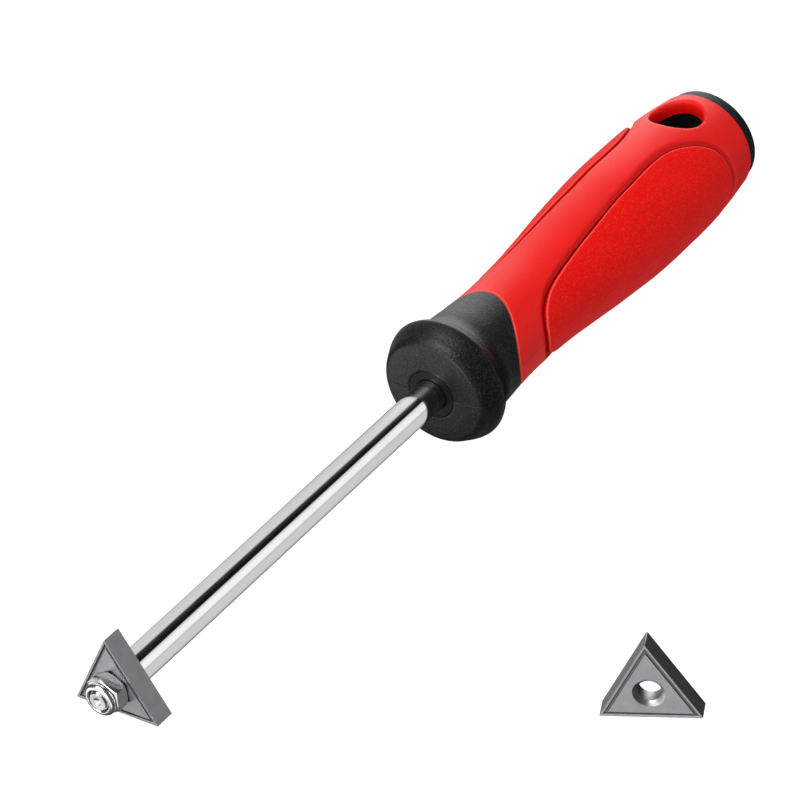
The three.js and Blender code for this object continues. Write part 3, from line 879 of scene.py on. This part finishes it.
def flaredHole():
    # follows the grip's saddle, so that the rim is rounded alike all round
    upper, lower = [], []
    for out, up in hangHole["flare"]:
        radius = hangHole["radius"] + out
        top, bottom = [], []
        for step in range(sides["small"]):
            turn = 2 * pi * step / sides["small"]
            x, aside = hangHole["x"] + radius * cos(turn), radius * sin(turn)
            height = sqrt(gripRadius(x) ** 2 - aside ** 2) + up
            top.append(onTool(x, 0, 0) + Vector((0, aside, height)))
            bottom.append(onTool(x, 0, 0) + Vector((0, aside, -height)))
        upper.append(top)
        lower.insert(0, bottom)
    return tubeOf("flaredHole", upper + lower)


deselectAll()
bpy.ops.mesh.primitive_cylinder_add(
    vertices=sides["small"], radius=hangHole["radius"], depth=2 * hangHole["reach"],
    location=onTool(hangHole["x"], 0, 0),
)
combine(handleCore, bpy.context.object)
smoothShading(handleCore, 35)
finishPiece(handleCore, "scraper_body", ["handle_core"], coreMaterial)
print("guard and core modelled")

# side pads: a closed line on the grip's surface, drawn from half widths along it

sleeve = {
    "startX": handle["neckEndX"] + handle["gap"],
    "spare": 1.2 * mm,
    "frontChamfer": 0.3 * mm,
    "rearChamfer": 0.35 * mm,
    "voxel": 0.36 * mm,
    "easing": 6,
    "boreLead": 6 * mm,
    "boreTail": 3 * mm,
}
pad = {
    "frontX": 148.01 * mm,
    "length": 77 * mm,
    "middle": 0.52,
    "steps": 220,
    "easing": 8,
    "voxel": 0.34 * mm,
    "inner": (0.12, 0.3, 0.5, 0.7, 0.86, 0.95),
    # rings from the outside in: (how far the line is let out, height over the grip's surface), in mm
    "pocket": [
        (1.4, 1), (1.4, 0.03), (1.2, -0.14), (1.08, -0.5), (0.95, -0.6), (0.1, -0.62), (0, -0.75),
        (0, -2.2),
    ],
    "edge": [(-1.2, 0.15), (-0.75, 0.14), (-0.45, 0.07), (-0.28, -0.12), (-0.22, -0.6), (-0.2, -1.8)],
}
padShares = [
    (0, 0), (0.004, 0.19), (0.03, 0.356), (0.082, 0.484), (0.147, 0.556), (0.232, 0.61), (0.308, 0.648),
    (0.455, 0.7), (0.532, 0.722), (0.7, 0.744), (0.78, 0.735), (0.835, 0.7), (0.913, 0.578), (0.969, 0.411),
    (0.988, 0.244), (0.997, 0.1), (1, 0),
]

# where the rubber's painted shade and painted highlight start, and over what they grow: the shade on the way
# down into a groove, the highlight on the pad's edge as it turns away from straight out, and behind the
# grip's front edge
paint = {
    "grooveFrom": 0.12 * mm,
    "grooveOver": 0.3 * mm,
    "deep": 0.8,
    "turnFrom": 0.96,
    "turnOver": 0.16,
    "frontFrom": 0.18 * mm,
    "frontOver": 0.3 * mm,
    "roundPads": 3 * mm,
    "roundHole": 2 * mm,
}


def evenLoop(points, count):
    # the closed line again, with its points at even distances
    closed = [Vector(point) for point in points + points[:1]]
    lengths = [(b - a).length for a, b in zip(closed, closed[1:])]
    total, walked, loop, index = sum(lengths), 0, [], 0
    for step in range(count):
        target = total * step / count
        while walked + lengths[index] < target:
            walked += lengths[index]
            index += 1
        loop.append(closed[index].lerp(closed[index + 1], (target - walked) / lengths[index]))
    return loop


def drawPadLine():
    # (x, distance round the grip from its side)
    upper = []
    for along, wide in padShares:
        x = pad["frontX"] + along * pad["length"]
        upper.append((x, wide * pi / 2 * gripRadius(x)))
    lower = [(x, -wide) for x, wide in reversed(upper[1:-1])]
    loop = evenLoop(upper + lower, pad["steps"])
    for _ in range(pad["easing"]):  # eases the corners of the drawn line
        loop = [(loop[i - 1] + loop[i] * 2 + loop[(i + 1) % len(loop)]) / 4 for i in range(len(loop))]
    return loop


padLine = drawPadLine()


def padRing(margin, share, height, side):
    # the line let out by a margin, drawn in to a share of itself and laid at a height over the grip
    middle = Vector((pad["frontX"] + pad["length"] * pad["middle"], 0))
    ringPoints = []
    for i, point in enumerate(padLine):
        along = (padLine[(i + 1) % len(padLine)] - padLine[i - 1]).normalized()
        x, across = middle.lerp(point + Vector((-along.y, along.x)) * margin, share)
        ringPoints.append(onTool(x, gripRadius(x) + height, side * (pi / 2 - across / gripRadius(x))))
    return ringPoints


def padRings(edge, side):
    (firstOut, firstUp), (lastOut, lastUp) = edge[0], edge[-1]
    rings = [padRing(firstOut * mm, share, firstUp * mm, side) for share in pad["inner"]]
    rings += [padRing(out * mm, 1, up * mm, side) for out, up in edge]
    rings += [padRing(lastOut * mm, share, lastUp * mm, side) for share in reversed(pad["inner"])]
    return rings


def paintShadeAndHighlight(piece, isPad):
    # painted shade by how deep a spot lies in the groove, and painted highlight by how near it is to the
    # pad's edge or the grip's front edge
    groove = piece.data.attributes.new("groove", "FLOAT", "POINT")
    edge = piece.data.attributes.new("edge", "FLOAT", "POINT")
    for vertex in piece.data.vertices:
        x, radius, angle = placeOf(vertex.co)
        deep = smoothStep((gripRadius(x) - radius - paint["grooveFrom"]) / paint["grooveOver"])
        nearPad = pad["frontX"] - paint["roundPads"] < x < pad["frontX"] + pad["length"] + paint["roundPads"]
        fromHole = hypot(x - hangHole["x"], vertex.co.y - toolLine["y"]) - hangHole["radius"]
        if nearPad and fromHole > paint["roundHole"]:
            groove.data[vertex.index].value = deep
        # painted highlight on the pad's rounded edge, where it turns away from straight out
        if isPad:
            outwards = (onTool(x, 1, angle) - onTool(x, 0, 0)).normalized()
            turnedAway = paint["turnFrom"] - vertex.normal.dot(outwards)
            edge.data[vertex.index].value = smoothStep(turnedAway / paint["turnOver"]) * (1 - deep)
        # painted highlight along the grip's front edge
        elif deep < paint["deep"]:
            fromFront = x - sleeve["startX"] - handle["wave"] * cos(2 * angle) - paint["frontFrom"]
            edge.data[vertex.index].value = 1 - smoothStep(fromFront / paint["frontOver"])


def modelPad(name, node, side):
    piece = tubeOf(name, padRings(pad["edge"], side))
    remeshed(piece, pad["voxel"], 4)
    smoothShading(piece, 180, weighted=False)
    paintShadeAndHighlight(piece, True)
    finishPiece(piece, "scraper_body", [node], padMaterial)


modelPad("rightGripPad", "right_grip_pad", 1)
modelPad("leftGripPad", "left_grip_pad", -1)

# grip sleeve: solid at first, with the pads' pockets and the hang hole cut, then bored and trimmed

roughStartX, roughEndX = sleeve["startX"] - sleeve["spare"], handle["sleeveEndX"] + sleeve["spare"]
roughLine = [(roughStartX, 0)] + outlineFrom(roughStartX, roughEndX) + [(roughEndX, 0)]
gripSleeve = turned("gripSleeve", roughLine, sides["handle"])
combine(gripSleeve, tubeOf("pocket", padRings(pad["pocket"], 1)))
combine(gripSleeve, tubeOf("pocket", padRings(pad["pocket"], -1)))
combine(gripSleeve, flaredHole())
remeshed(gripSleeve, sleeve["voxel"], sleeve["easing"])
boreStartX, boreEndX = core["neckEndX"] - sleeve["boreLead"], handle["sleeveEndX"] + sleeve["boreTail"]
boreLine = [(x, radius + core["clearance"]) for x, radius in coreLine]
combine(gripSleeve, turned("bore", [
    (boreStartX, 0),
    (boreStartX, core["neckRadius"] + core["clearance"]),
] + boreLine + [
    (boreEndX, boreLine[-1][1]),
    (boreEndX, 0),
]))
ends = ((sleeve["startX"], 1, sleeve["frontChamfer"]), (handle["sleeveEndX"], -1, sleeve["rearChamfer"]))
for endX, inwards, chamfer in ends:
    outerX = endX - inwards * 2 * sleeve["spare"]
    combine(gripSleeve, turned("endTrim", [
        (outerX, 0),
        (endX, 0),
        (endX, gripRadius(endX) - chamfer),
        (endX + inwards * chamfer * 1.5, gripRadius(endX + inwards * chamfer) + chamfer * 0.5),
        (outerX, gripRadius(endX) + chamfer * 0.5 + cutPast),
    ], sides["handle"]))
waveEdge(gripSleeve, handle["waveToX"])
smoothShading(gripSleeve, 50, weighted=False)
paintShadeAndHighlight(gripSleeve, False)
finishPiece(gripSleeve, "scraper_body", ["grip_sleeve"], gripMaterial)

# end cap

cap = {
    "frontX": 235.61 * mm,
    "buttX": 239.21 * mm,
    "radius": 13.1 * mm,
    "taper": 0.2 * mm,
    "round": 0.9 * mm,
    "edgeRound": 0.2 * mm,
    "spigotRadius": 6 * mm,
    "spigotX": 234.41 * mm,
}
endCap = turned("endCap", withFillets([
    (cap["spigotX"], 0),
    (cap["spigotX"], cap["spigotRadius"]),
    (cap["frontX"], cap["spigotRadius"]),
    (cap["frontX"], cap["radius"]),
    (cap["buttX"], cap["radius"] - cap["taper"]),
    (cap["buttX"], 0),
], {1: cap["edgeRound"], 3: cap["edgeRound"], 4: cap["round"]}), sides["handle"])
smoothShading(endCap, 40)
finishPiece(endCap, "scraper_body", ["end_cap"], capMaterial)
print("grip, pads and cap modelled")

# studio: white floor and one overhead softbox; the world holds the rest of the light, and the cards that the
# metal mirrors

softbox = {
    "theta": -4,  # degrees from straight up, in the plane that the rod mirrors to the camera, towards -Y
    "sideways": -0.45,
    "size": 0.85,
    "brightness": 12.8,
    "aim": (-0.05, 0.03, 0.02),
    "distance": 2.4,
}


def makeSoftbox():
    theta, level = radians(softbox["theta"]), sqrt(1 - softbox["sideways"] ** 2)
    away = Vector((softbox["sideways"], -level * sin(theta), level * cos(theta)))
    lamp = bpy.data.lights.new("overheadSoftbox", "AREA")
    lamp.shape = "RECTANGLE"
    lamp.size = lamp.size_y = softbox["size"]
    lamp.energy = softbox["brightness"] * pi * softbox["size"] ** 2
    light = bpy.data.objects.new("overheadSoftbox", lamp)
    bpy.context.scene.collection.objects.link(light)
    across = away.cross(Vector((0, -cos(theta), -sin(theta)))).normalized()
    upwards = away.cross(across).normalized()
    light.matrix_world = Matrix((across, upwards, away)).transposed().to_4x4()
    light.location = Vector(softbox["aim"]) + away * softbox["distance"]
    light.visible_camera = False


makeSoftbox()

# what smooth surfaces mirror: (angle, brightness) round the tool's line from straight up, towards -Y, on the
# strip that the rod mirrors, and beyond it. The panels stand on the camera's side: one for the blade's and
# guard's faces, one for the spare insert, a small bright one and a broad dim one for the nut and the guard's
# ridge, and two for the top of the guard's rim. Angles are in degrees.
cards = {
    "fill": 0.57,  # what matt surfaces get from all sides instead
    "stripX": 0.552,
    "stripHalf": 0.097,
    "stripFade": 0.015,
    "strip": [
        (-180, 0.45), (-168, 0.3), (-155, 0.05), (-132, 0.05), (-118, 0.62), (-80, 0.9), (-60, 0.92),
        (-20, 0.98), (-12, 0.04), (12, 0.02), (20, 0.008), (36, 0.008), (40, 0.95), (55, 1.35), (80, 1.4),
        (87, 1.3), (94, 0.76), (105, 0.92), (158, 0.9), (180, 0.45),
    ],
    "lean": 15,  # how far the dark gap's left edge moves over that part of the strip
    "leanX": (0.565, 0.643),
    "leanFade": (20, 4),
    "beyond": [
        (-180, 0.005), (-150, 0.01), (-128, 0.08), (-108, 0.9), (-80, 2.5), (-45, 4), (-20, 2.3), (5, 0.6),
        (25, 0.08), (45, 0.005), (180, 0.005),
    ],
    "backX": (0.3, 0.68),
    "front": 0.09,
    "panels": [
        {"towards": (-0.58, 0.74, -0.35), "within": 0, "fadeTo": 27, "brightness": 1.9},
        {"towards": (-0.8, -0.28, -0.52), "within": 8, "fadeTo": 24, "brightness": 1.4},
        {"towards": (-0.96, 0.12, 0.06), "within": 5, "fadeTo": 15, "brightness": 12},
        {"towards": (-0.96, 0.12, 0.06), "within": 25, "fadeTo": 54, "brightness": 1.1},
        {"towards": (-0.68, 0.38, 0.62), "within": 4, "fadeTo": 17, "brightness": 5.2},
        {"towards": (-0.25, 0.34, 0.9), "within": 4, "fadeTo": 17, "brightness": 5.2},
    ],
}


def turnShare(angle):
    # an angle of -180 to 180 degrees as a position on a colour ramp
    return (180 + angle) / 360


def turnStops(stops):
    return [(turnShare(angle), (brightness, brightness, brightness, 1)) for angle, brightness in stops]


def makeWorld():
    world = bpy.data.worlds.new("studio")
    bpy.context.scene.world = world
    world.use_nodes = True
    world.cycles.sampling_method = "NONE"
    tree = world.node_tree
    tree.nodes.clear()
    direction = addNode(tree, "TexCoord").outputs["Generated"]
    part = addNode(tree, "SeparateXYZ", links={"Vector": direction}).outputs
    angle = addNode(tree, "Math", {"operation": "ARCTAN2"}, {0: part["Y"], 1: part["Z"]})
    turn = addNode(tree, "MapRange", {"From Min": pi, "From Max": -pi}, {"Value": angle})
    lean = addNode(tree, "MapRange", {
        "From Min": cards["leanX"][0], "From Max": cards["leanX"][1], "To Max": cards["lean"] / 360,
    }, {"Value": part["X"]})
    atEdge = addNode(tree, "MapRange", {
        "interpolation_type": "SMOOTHSTEP",
        "From Min": turnShare(cards["leanFade"][0]), "From Max": turnShare(cards["leanFade"][1]),
    }, {"Value": turn})
    shift = addNode(tree, "Math", {"operation": "MULTIPLY"}, {0: lean, 1: atEdge})
    leaned = addNode(tree, "Math", {"operation": "SUBTRACT"}, {0: turn, 1: shift})
    strip = addNode(tree, "ValToRGB", {"stops": turnStops(cards["strip"])}, {"Fac": leaned})
    beyond = addNode(tree, "ValToRGB", {"stops": turnStops(cards["beyond"])}, {"Fac": turn})
    backwards = addNode(tree, "MapRange", {
        "interpolation_type": "SMOOTHSTEP", "From Min": cards["backX"][0], "From Max": cards["backX"][1],
    }, {"Value": part["X"]})
    around = addNode(tree, "Mix", {2: cards["front"]}, {0: backwards, 3: beyond})
    for card in cards["panels"]:
        facing = addNode(tree, "VectorMath", {
            "operation": "DOT_PRODUCT", 1: Vector(card["towards"]).normalized(),
        }, {0: direction}).outputs["Value"]
        glow = addNode(tree, "MapRange", {
            "interpolation_type": "SMOOTHSTEP", "From Min": cos(radians(card["fadeTo"])),
            "From Max": cos(radians(card["within"])), "To Max": card["brightness"],
        }, {"Value": facing})
        around = addNode(tree, "Math", {"operation": "MAXIMUM"}, {0: around, 1: glow})
    aside = addNode(tree, "Math", {"operation": "SUBTRACT", 1: cards["stripX"]}, {0: part["X"]})
    away = addNode(tree, "Math", {"operation": "ABSOLUTE"}, {0: aside})
    offStrip = addNode(tree, "MapRange", {
        "interpolation_type": "SMOOTHSTEP", "From Min": cards["stripHalf"],
        "From Max": cards["stripHalf"] + cards["stripFade"],
    }, {"Value": away})
    mirrored = addNode(tree, "Mix", links={0: offStrip, 2: strip, 3: around})
    path = addNode(tree, "LightPath").outputs
    strength = addNode(tree, "Mix", {2: cards["fill"]}, {0: path["Is Glossy Ray"], 3: mirrored})
    seen = addNode(tree, "Mix", {3: 1}, {0: path["Is Camera Ray"], 2: strength})
    background = addNode(tree, "Background", {"Color": (1, 1, 1, 1)}, {"Strength": seen})
    addNode(tree, "OutputWorld", links={"Surface": background})


makeWorld()

# white paper floor, faintly lit from within so that the camera sees it pure white
paper = {
    "size": 12, "dark": "#777777", "light": "#7c7c7c", "tones": (0.3, 0.7), "fibre": 10 / 3 * mm,
    "glow": 1.01, "roughness": 0.9, "specular": 0.1,
}
deselectAll()
bpy.ops.mesh.primitive_plane_add(size=paper["size"], location=(0, 0, 0))
floor = bpy.context.object
floor.name = "studioFloor"
whitePaper, tree, place = newMaterial("whitePaper")
fibres = addNode(tree, "TexNoise", {"Scale": 1 / paper["fibre"], "Detail": 3}, {"Vector": place})
tone = addNode(tree, "ValToRGB", {"stops": twoTones(paper, paper["tones"])}, {"Fac": fibres})
shader = addNode(tree, "BsdfPrincipled", {
    "Emission Color": (1, 1, 1, 1), "Emission Strength": paper["glow"],
    "Roughness": paper["roughness"], "Specular IOR Level": paper["specular"],
}, {"Base Color": tone})
addNode(tree, "OutputMaterial", links={"Surface": shader})
floor.data.materials.append(whitePaper)
floor.visible_diffuse = floor.visible_glossy = False  # the world lights and mirrors from below instead

# camera, fitted to the photograph's perspective

view = {
    "lens": 189,
    "sensor": 36,
    "clip": (0.05, 20),
    "place": (-0.609818, -0.444711, 0.554674),
    "right": (0.567845, -0.815812, -0.109557),
    "up": (0.520200, 0.252521, 0.815859),
}
camera = bpy.data.objects.new("camera", bpy.data.cameras.new("camera"))
bpy.context.scene.collection.objects.link(camera)
camera.data.lens = view["lens"]
camera.data.sensor_width = view["sensor"]
camera.data.clip_start, camera.data.clip_end = view["clip"]
right, up = Vector(view["right"]), Vector(view["up"])
camera.matrix_world = Matrix((right, up, right.cross(up))).transposed().to_4x4()
camera.location = view["place"]
bpy.context.scene.camera = camera
bpy.context.scene.view_settings.view_transform = "Standard"
print("studio and camera set")
